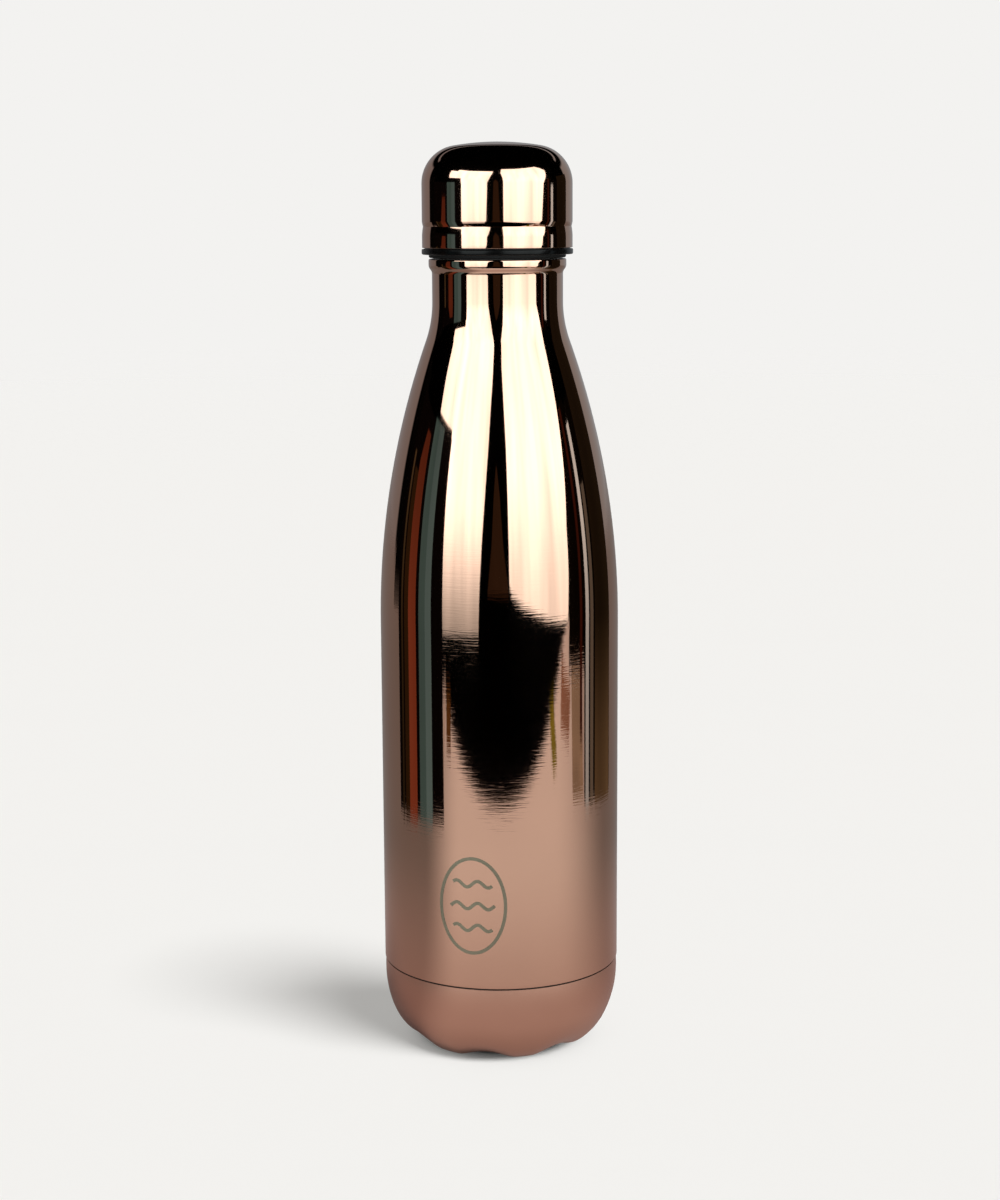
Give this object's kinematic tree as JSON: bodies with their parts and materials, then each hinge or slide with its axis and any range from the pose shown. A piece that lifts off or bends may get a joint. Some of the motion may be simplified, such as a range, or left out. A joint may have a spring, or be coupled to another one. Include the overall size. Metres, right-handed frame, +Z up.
{
  "type": "vacuum water bottle",
  "caption": "Slim double-walled metal water bottle with a curved shoulder, a petal base and a domed screw lid that seals on a ring gasket.",
  "frame": {"origin": "on the bottle's axis, in the plane that its seven feet stand on", "axes": "+Z up along the axis to the lid; -Y is the front, the side that carries the etched mark"},
  "size_m": [0.07, 0.07, 0.2655],
  "materials": {
    "polished_copper": "polished",
    "satin_copper": "satin",
    "stainless_steel": "satin",
    "copper_sheet": "gloss",
    "getter_metal": "matte",
    "solder_glass": "gloss",
    "black_silicone": "matte",
    "black_plastic": "gloss",
    "white_foam": "matte"
  },
  "bodies": {
    "flask": {"outer_shell": "polished_copper", "outer_base": "satin_copper", "inner_liner": "stainless_steel", "liner_base": "stainless_steel", "copper_foil": "copper_sheet", "getter_bracket": "stainless_steel", "getter_pellet": "getter_metal", "vacuum_seal_bead": "solder_glass", "base_cover_disc": "satin_copper"},
    "seal": {"mouth_gasket": "black_silicone"},
    "lid": {"lid_shell": "polished_copper", "lid_core": "black_plastic", "threaded_plug": "black_plastic", "plug_end_cap": "black_plastic", "lid_insulation": "white_foam"}
  },
  "joints": [
    {"name": "lid_rise", "type": "slide", "parent": "flask", "child": "seal", "axis": [0, 0, 1], "range_m": [0, 0.0251]},
    {"name": "lid_turn", "type": "hinge", "parent": "seal", "child": "lid", "pos_m": [0, 0, 0.2345], "axis": [0, 0, 1], "range_deg": [0, 900]}
  ],
  "couplings": [
    {"joint": "lid_rise", "follows": "lid_turn", "m_per_rad": 0.0015915}
  ]
}
